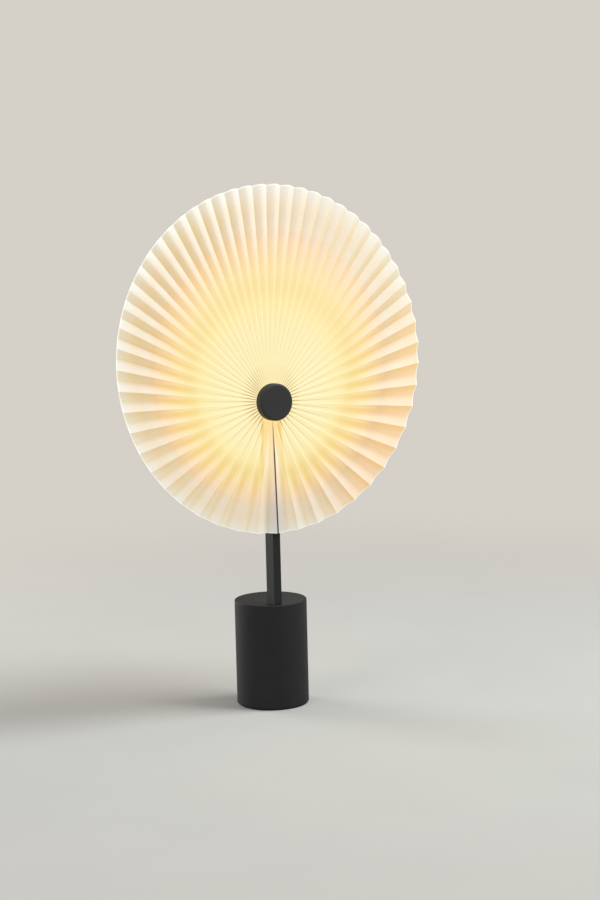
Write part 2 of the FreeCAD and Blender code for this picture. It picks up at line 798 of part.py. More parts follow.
def make_shade_collar():
    """Ring that the pleats are glued to, with a flange over their front ends."""
    tube = cylinder_z(collar_radius, -hub_pleat_depth / 2, flange_front)
    flange = cylinder_z(collar_flange_diameter / 2, flange_back, flange_front)
    bore = cylinder_z(spindle_diameter / 2 + pin_clearance, -hub_pleat_depth, flange_front + overrun)
    return on_hub(tube.fuse(flange).cut(bore))


def make_hub_cap():
    """Plain dark disc on the front of the hub, with a pocket for its magnet."""
    disc = cylinder_z(cap_diameter / 2, flange_front, flange_front + cap_thickness)
    disc = round_circle(disc, cap_edge_radius, cap_diameter / 2, flange_front + cap_thickness, "z")
    pocket = cap_magnet_diameter / 2 + pin_clearance
    return on_hub(disc.cut(cylinder_z(pocket, flange_front - overrun, flange_front + cap_magnet_thickness)))


def make_cap_magnet():
    """Magnet that holds the cap to the spindle."""
    return on_hub(cylinder_z(cap_magnet_diameter / 2, flange_front, flange_front + cap_magnet_thickness))


makers = {
    "base_shell": make_base_shell,
    "foot_pad": make_foot_pad,
    "bottom_plate": make_bottom_plate,
    "plate_screws": make_plate_screws,
    "ballast_disc": make_ballast,
    "battery_holder": make_battery_holder,
    "battery_cells": make_battery_cells,
    "cell_tabs": make_cell_tabs,
    "control_board": make_control_board,
    "board_screws": make_board_screws,
    "usb_socket": make_usb_socket,
    "charge_light_pipe": make_light_pipe,
    "tact_switch": make_tact_switch,
    "switch_plunger": make_switch_plunger,
    "power_button": make_power_button,
    "pivot_bush": make_pivot_bush,
    "pivot_post": make_pivot_post,
    "friction_washer": make_friction_washer,
    "pivot_nut": make_pivot_nut,
    "stem_bar": make_stem_bar,
    "stem_wires": make_stem_wires,
    "base_leads": make_base_leads,
    "head_housing": make_head_housing,
    "head_screws": make_head_screws,
    "led_board": make_led_board,
    "leds": make_leds,
    "diffuser_ring": make_diffuser,
    "hub_spindle": make_hub_spindle,
    "pleated_shade": make_pleated_shade,
    "seam_strips": make_seam_strips,
    "seam_magnets": make_seam_magnets,
    "shade_collar": make_shade_collar,
    "hub_cap": make_hub_cap,
    "cap_magnet": make_cap_magnet,
}

os.makedirs("parts", exist_ok=True)
for name, maker in makers.items():
    shape = maker()
    shape.exportStep("parts/" + name + ".step")
    print(name, len(shape.Solids), "solids", shape.isValid(), round(shape.Volume))
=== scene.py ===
import json
import math

import bpy
import numpy as np
from mathutils import Matrix, Vector


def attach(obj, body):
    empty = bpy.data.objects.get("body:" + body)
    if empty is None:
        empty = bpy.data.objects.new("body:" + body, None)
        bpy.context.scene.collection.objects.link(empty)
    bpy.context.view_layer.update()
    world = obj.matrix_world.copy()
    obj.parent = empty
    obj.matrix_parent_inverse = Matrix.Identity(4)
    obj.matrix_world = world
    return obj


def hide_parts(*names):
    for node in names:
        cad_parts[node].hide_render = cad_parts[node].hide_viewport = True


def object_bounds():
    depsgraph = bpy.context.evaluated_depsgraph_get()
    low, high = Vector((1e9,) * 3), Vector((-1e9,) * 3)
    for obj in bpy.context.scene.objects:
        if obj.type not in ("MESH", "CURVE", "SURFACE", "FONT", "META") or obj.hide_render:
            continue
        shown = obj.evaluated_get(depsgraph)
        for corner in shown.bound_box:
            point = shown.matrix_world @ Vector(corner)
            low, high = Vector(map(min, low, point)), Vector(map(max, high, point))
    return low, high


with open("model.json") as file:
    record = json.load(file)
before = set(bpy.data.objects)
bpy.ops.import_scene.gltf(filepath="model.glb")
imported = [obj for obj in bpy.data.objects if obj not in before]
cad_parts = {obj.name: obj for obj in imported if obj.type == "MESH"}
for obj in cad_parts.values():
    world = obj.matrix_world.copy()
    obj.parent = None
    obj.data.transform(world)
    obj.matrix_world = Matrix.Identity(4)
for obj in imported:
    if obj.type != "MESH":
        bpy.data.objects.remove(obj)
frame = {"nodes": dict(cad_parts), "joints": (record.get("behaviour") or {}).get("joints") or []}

bl_info = {
    "name": "Fan Shade Table Lamp",
    "version": (1, 0, 0),
    "blender": (4, 5, 0),
    "location": "3D View > Sidebar > Lamp",
    "description": "Dresses a cordless table lamp: its lit pleated shade, its finishes and a plain studio",
    "category": "Object",
}

cad_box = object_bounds()
nodes = frame["nodes"]
pull_axis = Vector(next(j for j in frame["joints"] if j["name"] == "shade_pull")["axis"])
shade_lean = math.atan2(pull_axis.z, -pull_axis.y)
mm = 0.001


class ShadeSizes(bpy.types.PropertyGroup):
    """Sizes of the pleated sheet, in the hub's own frame."""

    hub: bpy.props.FloatVectorProperty(
        name="Hub", description="Point on the hub's axis in the middle of the folded sheet",
        default=(-0.0091, -0.0262365, 0.2985), size=3, subtype="TRANSLATION", unit="LENGTH")
    lean: bpy.props.FloatProperty(
        name="Lean", description="How far the sheet leans back from upright",
        default=shade_lean, subtype="ANGLE", unit="ROTATION")
    pleats: bpy.props.IntProperty(name="Pleats", description="Pleats all round the hub", default=54, min=12)
    crowding: bpy.props.FloatProperty(
        name="Crowding", description="How much closer the folds stand at the top than at the seam",
        default=1.55)
    radius: bpy.props.FloatProperty(
        name="Rim radius", description="Radius of the round rim", default=0.1654, unit="LENGTH")
    hub_drop: bpy.props.FloatProperty(
        name="Hub drop", description="How far the hub lies under the middle of the rim",
        default=0.0396, unit="LENGTH")
    hub_side: bpy.props.FloatProperty(
        name="Hub side", description="How far the rim's middle lies right of the hub",
        default=0.0047, unit="LENGTH")
    hub_radius: bpy.props.FloatProperty(
        name="Inner radius", description="Radius at which the folds start", default=0.014, unit="LENGTH")
    hub_depth: bpy.props.FloatProperty(
        name="Inner fold depth", description="Depth of the folds at the hub", default=0.004, unit="LENGTH")
    rim_depth: bpy.props.FloatVectorProperty(
        name="Rim fold depth", description="Depth of the folds at the rim, by the seam and at the top",
        default=(0.0024, 0.0035), size=2, unit="LENGTH")
    rim_drop: bpy.props.FloatVectorProperty(
        name="Rim scallop", description="How much shorter the rear folds are, by the seam and at the top",
        default=(0.0008, 0.0012), size=2, unit="LENGTH")
    growth: bpy.props.FloatProperty(
        name="Rim growth", description="Power by which depth and scallop grow towards the top", default=2.5)
    rise: bpy.props.FloatVectorProperty(
        name="Sheet thickness",
        description="Thickness of the sheet along the hub's axis, at the hub and at the rim",
        default=(0.0012, 0.0006), size=2, unit="LENGTH")
    seam: bpy.props.FloatVectorProperty(
        name="Seam gap", description="Gap between the sheet's two ends, at the hub and at the rim",
        default=(0.0012, 0.0009), size=2, unit="LENGTH")
    bow: bpy.props.FloatVectorProperty(
        name="Panel bow", description="Bow of a panel as a share of its depth, at the sides and at the top",
        default=(-0.22, 0.2), size=2)
    waver: bpy.props.FloatProperty(
        name="Hand-folded waver", description="How uneven the folds are, as a share of a panel", default=0.04)


class LampColours(bpy.types.PropertyGroup):
    """Colours that a user would change, as sRGB hex values."""

    sheet: bpy.props.StringProperty(
        name="Sheet", description="Reflected colour of the shade's thin sheet", default="#C2C8C8")
    sheet_core: bpy.props.StringProperty(
        name="Sheet at the hub", description="Reflected colour where most light passes", default="#505355")
    glow_core: bpy.props.StringProperty(
        name="Glow at the hub", description="Colour that shines through at the hub", default="#F7E7AF")
    glow_near: bpy.props.StringProperty(
        name="Glow near the hub", description="Colour that shines through near the hub", default="#F5DF9B")
    glow_middle: bpy.props.StringProperty(
        name="Glow half way", description="Colour that shines through half way out", default="#ECCC8C")
    glow_outer: bpy.props.StringProperty(
        name="Glow further out", description="Colour that shines through past half way", default="#CB9F60")
    glow_far: bpy.props.StringProperty(
        name="Glow near the rim", description="Colour that shines through near the rim", default="#B08C50")
    glow_rim: bpy.props.StringProperty(
        name="Glow at the rim", description="Colour that shines through at the rim", default="#AFA089")
    glow_amber: bpy.props.StringProperty(
        name="Amber side", description="Colour that shines through low on the right", default="#C38A14")
    glow_streak: bpy.props.StringProperty(
        name="Streaks", description="What the rear folds below the hub leave of the light", default="#F8EEBC")
    coat: bpy.props.StringProperty(
        name="Coat", description="Powder coat of the can and the bar", default="#222223")
    cap: bpy.props.StringProperty(name="Cap", description="Anodised hub cap", default="#2A2A2B")
    floor: bpy.props.StringProperty(
        name="Floor", description="Pale studio floor and backdrop", default="#D5D0C8")


class StudioLevels(bpy.types.PropertyGroup):
    """Lamps and camera of the plain studio."""

    key_power: bpy.props.FloatProperty(
        name="Key light", description="Large soft light above and to the right", default=31.0, unit="POWER")
    edge_power: bpy.props.FloatProperty(
        name="Edge light", description="Soft light behind the lamp, to its left", default=15.0, unit="POWER")
    side_power: bpy.props.FloatProperty(
        name="Side light", description="Weak soft light from the left", default=5.0, unit="POWER")
    fill: bpy.props.FloatProperty(name="Fill", description="Even light from all round", default=0.28)
    eye: bpy.props.FloatVectorProperty(
        name="Camera", description="Where the camera stands", default=(-1.0826, -1.87, 0.5629), size=3,
        subtype="TRANSLATION", unit="LENGTH")
    heading: bpy.props.FloatProperty(
        name="Heading", description="Way the camera looks, from +Y towards +X", default=math.radians(30.92),
        subtype="ANGLE", unit="ROTATION")
    pitch: bpy.props.FloatProperty(
        name="Pitch", description="How far the camera looks down", default=math.radians(8.30),
        subtype="ANGLE", unit="ROTATION")
    roll: bpy.props.FloatProperty(
        name="Roll", description="How far uprights lean left in the picture", default=math.radians(1.396),
        subtype="ANGLE", unit="ROTATION")
    lens: bpy.props.FloatProperty(
        name="Lens", description="Focal length on a 36 mm long side", default=90.84, unit="CAMERA")


def linear(colour):
    """Turns an sRGB hex value to the linear colour that shaders take."""
    parts = np.array([int(colour[i:i + 2], 16) for i in (1, 3, 5)]) / 255
    parts = np.where(parts <= 0.04045, parts / 12.92, ((parts + 0.055) / 1.055) ** 2.4)
    return (*(float(p) for p in parts), 1.0)


def add(tree, kind, inputs=(), stops=(), **settings):
    """Adds a node with its settings, ramp stops, and inputs that are values or links."""
    node = tree.nodes.new(kind)
    for name, value in settings.items():
        setattr(node, name, value)
    for name, value in dict(inputs).items():
        if isinstance(value, bpy.types.NodeSocket):
            tree.links.new(value, node.inputs[name])
        else:
            node.inputs[name].default_value = value
    for number, (place, colour) in enumerate(stops):
        ramp = node.color_ramp.elements
        stop = ramp[number] if number < 2 else ramp.new(place)
        stop.position, stop.color = place, colour
    return node


def finish(name, **values):
    """Starts a material: a Principled shader with its plain values set on its own sockets, and an output."""
    material = bpy.data.materials.new(name)
    material.use_nodes = True
    tree = material.node_tree
    tree.nodes.clear()
    sockets = {key.replace("_", " "): value for key, value in values.items()}
    shader = add(tree, "ShaderNodeBsdfPrincipled", sockets)
    add(tree, "ShaderNodeOutputMaterial", {"Surface": shader.outputs["BSDF"]})
    return material, tree, shader


def span(pair):
    """Inputs of a Map Range node that starts and ends at the two values of a pair."""
    return {"From Min": pair[0], "From Max": pair[1]}


cloud_length = 18 * mm
cloud_shares = (0.12, 0.42)
grain_spread = (0.3, 0.7)
grain_height = 0.2 * mm


def grained(name, colour, grain_mm, lightness=0.12, rough=(0.45, 0.55), bump=0.08, **values):
    """A surface with a fine even grain: the grain turns colour and roughness a little and raises a bump."""
    material, tree, shader = finish(name, **values)
    place = add(tree, "ShaderNodeTexCoord").outputs["Object"]
    grain = add(tree, "ShaderNodeTexNoise", {
        "Vector": place, "Scale": 1 / (grain_mm * mm), "Detail": 3.0, "Roughness": 0.6}).outputs["Fac"]
    cloud = add(tree, "ShaderNodeTexNoise", {
        "Vector": place, "Scale": 1 / cloud_length, "Detail": 2.0}).outputs["Fac"]
    both = add(tree, "ShaderNodeMath", {0: grain, 1: cloud}, operation="MULTIPLY").outputs[0]
    base = linear(colour)
    low = tuple(c * (1 - lightness) for c in base[:3]) + (1.0,)
    high = tuple(min(1, c * (1 + lightness)) for c in base[:3]) + (1.0,)
    tone = add(tree, "ShaderNodeValToRGB", {"Fac": both}, stops=(
        (cloud_shares[0], low), (cloud_shares[1], high)))
    tree.links.new(tone.outputs["Color"], shader.inputs["Base Color"])
    gloss = add(tree, "ShaderNodeMapRange", {
        "Value": grain, **span(grain_spread),
        "To Min": rough[0], "To Max": rough[1]})
    tree.links.new(gloss.outputs["Result"], shader.inputs["Roughness"])
    height = add(tree, "ShaderNodeBump", {"Height": grain, "Strength": bump, "Distance": grain_height})
    tree.links.new(height.outputs["Normal"], shader.inputs["Normal"])
    return material


def dress(material, *names):
    """Gives CAD nodes one material, on their objects' own slots."""
    for name in names:
        mesh = nodes[name].data
        mesh.materials.clear()
        mesh.materials.append(material)


def grid_quads(columns, rows, first=0, turned=False):
    """Quads of a grid of points that is stored column by column; turned faces look the other way."""
    c, r = np.meshgrid(np.arange(columns - 1), np.arange(rows - 1), indexing="ij")
    a = (first + c * rows + r).ravel()
    quads = np.stack([a, a + 1, a + rows + 1, a + rows], axis=1)
    return quads[:, ::-1] if turned else quads


def put_mesh(name, points, quads, uv=None):
    """Puts points and quads into a new smooth mesh object at the origin, with UVs per point if given."""
    mesh = bpy.data.meshes.new(name)
    mesh.vertices.add(len(points))
    mesh.vertices.foreach_set("co", np.ascontiguousarray(points, np.float32).ravel())
    mesh.loops.add(quads.size)
    mesh.loops.foreach_set("vertex_index", np.ascontiguousarray(quads, np.int32).ravel())
    mesh.polygons.add(len(quads))
    mesh.polygons.foreach_set("loop_start", np.arange(0, quads.size, 4, dtype=np.int32))
    mesh.polygons.foreach_set("use_smooth", np.ones(len(quads), bool))
    mesh.update(calc_edges=True)
    mesh.validate()
    if uv is not None:
        layer = mesh.uv_layers.new(name="Folds")
        layer.uv.foreach_set("vector", np.ascontiguousarray(uv[quads.ravel()], np.float32).ravel())
    piece = bpy.data.objects.new(name, mesh)
    bpy.context.scene.collection.objects.link(piece)
    return piece


panel_shares = np.array([0, 0.03, 0.12, 0.3, 0.5, 0.7, 0.88, 0.97])
row_power = 1.25
waver_seed = 7
top_start, top_span = 0.55, 0.35
bow_growth = 3


def pleated_surface(s, rows=44):
    """Front and back skin of the pleated sheet in the hub's frame, x right, y up, z forward, and their UVs.

    One parameter counts folds from the seam: even folds stand forward, odd ones lie back. The other is the
    share of the way from hub to rim. A fold's angle from straight down is twice the arc tangent of the
    crowding times the tangent of its share of a half turn. The rim is a circle about a point above the hub
    and a little to the right of it. Between a front fold and a rear one, depth and scallop follow the share
    of the panel, less four times the bow times that share times its rest: panels are hollow at the sides,
    where the front folds are crisp, and full at the top, where the rear folds are. The folds waver a little.
    """
    folds = 2 * s.pleats
    fold = np.append((np.arange(folds)[:, None] + panel_shares).ravel(), folds)[:, None]
    along = (np.linspace(0, 1, rows) ** row_power)[None, :]

    half = np.pi * fold / folds
    angle = 2 * np.arctan2(s.crowding * np.sin(half), np.cos(half))
    whole = np.arange(folds + 1)
    inner = (whole > 1) & (whole < folds - 1)
    turns, depths = np.random.default_rng(waver_seed).uniform(-1, 1, (2, folds + 1)) * s.waver * inner
    turn = np.interp(fold, whole, turns) * np.gradient(angle[:, 0], fold[:, 0])[:, None]

    upward = (1 - np.cos(angle)) / 2
    top = np.clip((upward - top_start) / top_span, 0, 1)
    bow = s.bow[0] + (s.bow[1] - s.bow[0]) * top * top * (3 - 2 * top)
    bow = bow * (fold > 1) * (fold < folds - 1)
    share = 1 - np.abs(1 - fold % 2)
    back = share - 4 * bow * share * (1 - share) * np.minimum(1, bow_growth * along)

    centre = s.hub_side * np.sin(angle) - s.hub_drop * np.cos(angle)
    rim = centre + np.sqrt(s.radius ** 2 - s.hub_side ** 2 - s.hub_drop ** 2 + centre ** 2)
    depth, drop = (
        size[0] + (size[1] - size[0]) * upward ** s.growth for size in (s.rim_depth, s.rim_drop))
    depth = depth * (1 - np.abs(np.interp(fold, whole, depths)))
    radius = s.hub_radius + (rim - drop * back - s.hub_radius) * along
    hub_high = s.hub_depth / 2 - (s.hub_depth - s.rise[0]) * back
    rim_high = depth / 2 - (depth - s.rise[1]) * back
    high = hub_high + (rim_high - hub_high) * along

    gap = (s.seam[0] + (s.seam[1] - s.seam[0]) * along) / 2
    aside = gap * (np.maximum(0, 1 - fold) - np.maximum(0, fold - folds + 1))
    front = np.stack([
        radius * np.sin(angle + turn * along) + aside, -radius * np.cos(angle + turn * along), high],
        axis=2)
    rear = front.copy()
    rear[:, :, 2] -= s.rise[0] + (s.rise[1] - s.rise[0]) * along
    uv = np.stack(np.broadcast_arrays(fold / folds, along), axis=2)
    return front, rear, uv


def on_hub(points, s):
    """Turns points of the hub's frame by the lean and puts them on the hub."""
    up = np.array([0, math.sin(s.lean), math.cos(s.lean)])
    out = np.array([0, -math.cos(s.lean), math.sin(s.lean)])
    flat = points.reshape(-1, 3)
    return flat[:, :1] * np.array([1, 0, 0]) + flat[:, 1:2] * up + flat[:, 2:3] * out + np.array(s.hub)


# Marks of the sheet's painted light and shade, and of its fibres. Shares count the way from hub to rim.
# Lengths run up from the hub or sideways.
amber_way = (0.88, 0.0, -0.47)
amber_lengths = (80 * mm, 130 * mm)
amber_shares = (0.68, 0.8)
streak_narrowing = 0.6
streak_edge = (0.0, 0.5)
streak_drop = 0.4
streak_lengths = (60 * mm, -20 * mm)
streak_shares = (0.4, 0.6)
stripe_shift = 1.5 * mm
stripe_half = 6.5 * mm
stripe_spread = 0.045
stripe_lengths = (-10 * mm, -16 * mm)
stripe_edge = (1.25, 0.75)
stripe_cover = 0.7
edging_edge = (1.6, 1.25)
edging_lengths = (-80 * mm, -35 * mm)
line_shares = (0.42, 0.1)
line_strength = 0.8
line_start_shares = (0.04, 0.13)
line_starts = (0.4, 0.88)
cut_shares = (0.992, 0.998)
seam_edge = (1.05 * mm, 0.6 * mm)
seam_lengths = (-15 * mm, -50 * mm)
dim_lengths = (-40 * mm, -115 * mm)
dim_strength = 0.85
pale_shares = (0.48, 0.84)
facing_slopes = (0.03, -0.15)
facing_shares = (0.5, 0.7)
fibre_length = 2 * mm
fibre_spread = (0.3, 0.7)
fibre_tones = (0.95, 1.05)
crease_edge = (0.05, 0.0)
crease_strength = 0.5


def sheet_light(tree, colours, spot, across, reach):
    """Painted light that comes through the sheet: its colour and strength.

    Also gives where the painted streaks, the bar's painted shadow stripe and the seam's painted dark edges
    lie, for the reflected colour.
    """
    axes = add(tree, "ShaderNodeSeparateXYZ", {0: spot})
    high = axes.outputs["Z"]

    # The painted glow: by the share of the way from hub to rim it is pale yellow, then amber, then a dim tan.
    core, near, middle, outer, far, rim = (
        linear(getattr(colours, "glow_" + name))
        for name in ("core", "near", "middle", "outer", "far", "rim"))
    glow = add(tree, "ShaderNodeValToRGB", {"Fac": reach}, stops=(
        (0.0, core), (1.0, rim), (0.28, core), (0.45, near), (0.60, middle), (0.73, outer),
        (0.81, far), (0.90, far)))
    glow.color_ramp.interpolation = "CARDINAL"
    # Low on the right its painted outer glow is more amber.
    side = add(tree, "ShaderNodeVectorMath", {
        0: spot, 1: amber_way}, operation="DOT_PRODUCT").outputs["Value"]
    beyond = add(tree, "ShaderNodeMapRange", {"Value": reach, **span(amber_shares)}).outputs["Result"]
    side = add(tree, "ShaderNodeMapRange", {
        "Value": side, **span(amber_lengths), "To Max": beyond},
        interpolation_type="SMOOTHSTEP").outputs["Result"]
    amber = add(tree, "ShaderNodeMix", {
        0: side, 6: glow.outputs["Color"], 7: linear(colours.glow_amber)}, data_type="RGBA").outputs[2]

    # Below the hub and beside it the rear folds hold painted warm streaks of light that narrow towards the
    # rim.
    aside = add(tree, "ShaderNodeMath", {0: axes.outputs["X"], 1: stripe_shift}, operation="ADD").outputs[0]
    aside = add(tree, "ShaderNodeMath", {0: aside}, operation="ABSOLUTE").outputs[0]
    streak = add(tree, "ShaderNodeMath", {
        0: reach, 1: -streak_narrowing, 2: across}, operation="MULTIPLY_ADD").outputs[0]
    streak = add(tree, "ShaderNodeMapRange", {
        "Value": streak, **span(streak_edge)}, interpolation_type="SMOOTHSTEP").outputs["Result"]
    wide = add(tree, "ShaderNodeMath", {
        0: aside, 1: -streak_drop, 2: high}, operation="MULTIPLY_ADD").outputs[0]
    low = add(tree, "ShaderNodeMapRange", {"Value": wide, **span(streak_lengths)}).outputs["Result"]
    away = add(tree, "ShaderNodeMapRange", {"Value": reach, **span(streak_shares)}).outputs["Result"]
    streak = add(tree, "ShaderNodeMath", {0: streak, 1: low}, operation="MULTIPLY").outputs[0]
    streak = add(tree, "ShaderNodeMath", {0: streak, 1: away}, operation="MULTIPLY").outputs[0]
    streaked = add(tree, "ShaderNodeMix", {
        0: streak, 6: amber, 7: linear(colours.glow_streak)},
        data_type="RGBA", blend_type="MULTIPLY").outputs[2]

    # The bar stands in the light. Its painted shadow is a stripe below the hub that widens downwards, lies a
    # little to the left, is peach near the hub and pale grey further down, and has painted amber lines of
    # light along its sides near the hub.
    half = add(tree, "ShaderNodeMath", {
        0: high, 1: -stripe_spread, 2: stripe_half}, operation="MULTIPLY_ADD").outputs[0]
    ratio = add(tree, "ShaderNodeMath", {0: aside, 1: half}, operation="DIVIDE").outputs[0]
    under = add(tree, "ShaderNodeMapRange", {"Value": high, **span(stripe_lengths)}).outputs["Result"]
    stripe = add(tree, "ShaderNodeMapRange", {
        "Value": ratio, **span(stripe_edge), "To Max": under},
        interpolation_type="SMOOTHSTEP").outputs["Result"]
    tint = add(tree, "ShaderNodeValToRGB", {"Fac": reach}, stops=(
        (0.2, linear("#E6CCA3")), (0.8, linear("#CBC4DC")), (0.5, linear("#DACBBF"))))
    shaded = add(tree, "ShaderNodeMix", {
        0: stripe, 6: streaked, 7: tint.outputs["Color"]}, data_type="RGBA", blend_type="MULTIPLY").outputs[2]
    beside = add(tree, "ShaderNodeMapRange", {
        "Value": high, **span(edging_lengths), "To Max": under}).outputs["Result"]
    edging = add(tree, "ShaderNodeMapRange", {
        "Value": ratio, **span(edging_edge), "To Max": beside},
        interpolation_type="SMOOTHSTEP").outputs["Result"]
    edging = add(tree, "ShaderNodeMath", {
        0: edging, 1: stripe}, operation="SUBTRACT", use_clamp=True).outputs[0]
    edged = add(tree, "ShaderNodeMix", {
        0: edging, 6: shaded, 7: linear("#F9E19F")}, data_type="RGBA", blend_type="MULTIPLY").outputs[2]

    # Painted shade: thin brown lines darken the rear folds near the hub, but not in the stripe.
    # The rim's cut edge shows as a thin line of paler painted light.
    close = add(tree, "ShaderNodeMapRange", {
        "Value": reach, **span(line_shares), "To Max": line_strength}).outputs["Result"]
    start = add(tree, "ShaderNodeMapRange", {
        "Value": reach, **span(line_start_shares),
        "To Min": line_starts[0], "To Max": line_starts[1]}).outputs["Result"]
    line = add(tree, "ShaderNodeMapRange", {
        "Value": across, "From Min": start, "From Max": 1.0, "To Max": close},
        interpolation_type="SMOOTHSTEP").outputs["Result"]
    line = add(tree, "ShaderNodeMath", {0: line, 1: stripe}, operation="SUBTRACT", use_clamp=True).outputs[0]
    lined = add(tree, "ShaderNodeMix", {0: line, 6: edged, 7: linear("#8A5510")}, data_type="RGBA").outputs[2]
    edge = add(tree, "ShaderNodeMapRange", {"Value": reach, **span(cut_shares)}).outputs["Result"]
    cut = add(tree, "ShaderNodeMix", {0: edge, 6: lined, 7: linear("#CFC6B6")}, data_type="RGBA").outputs[2]
    # The sheet's ends at the seam stand before the bar, so painted shade darkens their edges.
    ends = add(tree, "ShaderNodeMath", {0: axes.outputs["X"]}, operation="ABSOLUTE").outputs[0]
    below = add(tree, "ShaderNodeMapRange", {"Value": high, **span(seam_lengths)}).outputs["Result"]
    ends = add(tree, "ShaderNodeMapRange", {
        "Value": ends, **span(seam_edge), "To Max": below}).outputs["Result"]
    ended = add(tree, "ShaderNodeMix", {0: ends, 6: cut, 7: linear("#4A3C2C")}, data_type="RGBA").outputs[2]
    # Low down less light comes through.
    dim = add(tree, "ShaderNodeMapRange", {
        "Value": high, **span(dim_lengths), "To Min": 1.0, "To Max": dim_strength}).outputs["Result"]
    return ended, dim, streak, stripe, ends


def sheet_material(s, colours):
    """Fibrous white polymer sheet, pleated: thin, matt and translucent.

    Its emission paints the soft warm light seen through it, strongest near the hub and more amber in the rear
    folds. It also has painted highlights on the front folds, thin brown lines of painted shade in the tight
    rear folds by the hub, the bar's painted shadow as a paler stripe, a pale painted light on the cut rim,
    and faint fibres.
    """
    material, tree, shader = finish("Pleated Fibre Sheet", Roughness=0.8, IOR=1.45, Specular_IOR_Level=0.2)
    place = add(tree, "ShaderNodeTexCoord")
    spot = add(tree, "ShaderNodeVectorMath", {
        0: place.outputs["Object"], 1: s.hub}, operation="SUBTRACT").outputs[0]
    folds = add(tree, "ShaderNodeSeparateXYZ", {0: place.outputs["UV"]})
    reach = folds.outputs["Y"]
    # Across a panel: 0 on a front fold and 1 in a rear fold.
    across = add(tree, "ShaderNodeMath", {
        0: folds.outputs["X"], 1: 2.0 * s.pleats}, operation="MULTIPLY").outputs[0]
    across = add(tree, "ShaderNodeMath", {0: across, 1: 1.0}, operation="PINGPONG").outputs[0]
    light, strength, streak, stripe, ends = sheet_light(tree, colours, spot, across, reach)
    tree.links.new(light, shader.inputs["Emission Color"])
    tree.links.new(strength, shader.inputs["Emission Strength"])

    # Reflected colour: darker near the hub, where most light passes, so that the painted glow there drowns
    # the folds' shading; paler in the bar's painted shadow and warmer in the painted streaks.
    pale = add(tree, "ShaderNodeValToRGB", {"Fac": reach}, stops=(
        (pale_shares[0], linear(colours.sheet_core)), (pale_shares[1], linear(colours.sheet))))
    pale.color_ramp.interpolation = "EASE"
    cover = add(tree, "ShaderNodeMath", {0: stripe, 1: stripe_cover}, operation="MULTIPLY").outputs[0]
    covered = add(tree, "ShaderNodeMix", {
        0: cover, 6: pale.outputs["Color"], 7: linear(colours.sheet)}, data_type="RGBA").outputs[2]
    warmed = add(tree, "ShaderNodeMix", {
        0: streak, 6: covered, 7: linear("#FBF6E8")}, data_type="RGBA", blend_type="MULTIPLY").outputs[2]
    # Painted light: panels that face down catch the warm light of their neighbours.
    facing = add(tree, "ShaderNodeSeparateXYZ", {0: place.outputs["Normal"]}).outputs["Z"]
    away = add(tree, "ShaderNodeMapRange", {"Value": reach, **span(facing_shares)}).outputs["Result"]
    turned = add(tree, "ShaderNodeMapRange", {
        "Value": facing, **span(facing_slopes), "To Max": away}).outputs["Result"]
    warmed = add(tree, "ShaderNodeMix", {
        0: turned, 6: warmed, 7: linear("#F9F1DE")}, data_type="RGBA", blend_type="MULTIPLY").outputs[2]
    # The fibres are drawn coarser than the real ones so that they show.
    fibre = add(tree, "ShaderNodeTexNoise", {
        "Vector": spot, "Scale": 1 / fibre_length, "Detail": 4.0, "Roughness": 0.65,
        "Distortion": 1.2}).outputs["Fac"]
    mottle = add(tree, "ShaderNodeMapRange", {
        "Value": fibre, **span(fibre_spread),
        "To Min": fibre_tones[0], "To Max": fibre_tones[1]}).outputs["Result"]
    paper = add(tree, "ShaderNodeVectorMath", {0: warmed, "Scale": mottle}, operation="SCALE").outputs[0]
    # Painted highlight: the base colour is paler along the front folds.
    crease = add(tree, "ShaderNodeMapRange", {
        "Value": across, **span(crease_edge), "To Max": crease_strength}).outputs["Result"]
    creased = add(tree, "ShaderNodeMix", {
        0: crease, 6: paper, 7: linear("#DAD7D0")}, data_type="RGBA").outputs[2]
    # Painted shade darkens the sheet's edges at the seam here too.
    seamed = add(tree, "ShaderNodeMix", {
        0: ends, 6: creased, 7: linear("#5A4E40")}, data_type="RGBA").outputs[2]
    tree.links.new(seamed, shader.inputs["Base Color"])
    height = add(tree, "ShaderNodeBump", {"Height": fibre, "Strength": 0.12, "Distance": 0.15 * mm})
    tree.links.new(height.outputs["Normal"], shader.inputs["Normal"])
    material.cycles.emission_sampling = "NONE"
    return material


class LAMP_OT_pleated_sheet(bpy.types.Operator):
    """Builds the round pleated sheet, open along its seam below the hub"""

    bl_idname = "lamp.pleated_sheet"
    bl_label = "Pleated Sheet"

    def execute(self, context):
        s = context.scene.lamp_shade
        front, back, uv = pleated_surface(s)
        columns, rows = front.shape[:2]
        count = columns * rows
        points = np.concatenate([on_hub(front, s), on_hub(back, s)])
        rim = np.arange(columns - 1) * rows + rows - 1
        hub = np.arange(columns - 1) * rows
        first = np.arange(rows - 1)
        last = first + count - rows
        quads = np.concatenate([
            grid_quads(columns, rows),
            grid_quads(columns, rows, count, turned=True),
            np.stack([rim, rim + count, rim + rows + count, rim + rows], axis=1),
            np.stack([hub, hub + rows, hub + rows + count, hub + count], axis=1),
            np.stack([first + count, first + count + 1, first + 1, first], axis=1),
            np.stack([last + count, last, last + 1, last + count + 1], axis=1)])
        piece = put_mesh("pleated_sheet", points, quads, np.concatenate([uv.reshape(-1, 2)] * 2))
        piece.data.set_sharp_from_angle(angle=math.radians(60))
        piece.data.materials.append(sheet_material(s, context.scene.lamp_colours))
        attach(piece, "shade")
        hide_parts("pleated_shade")
        return {"FINISHED"}


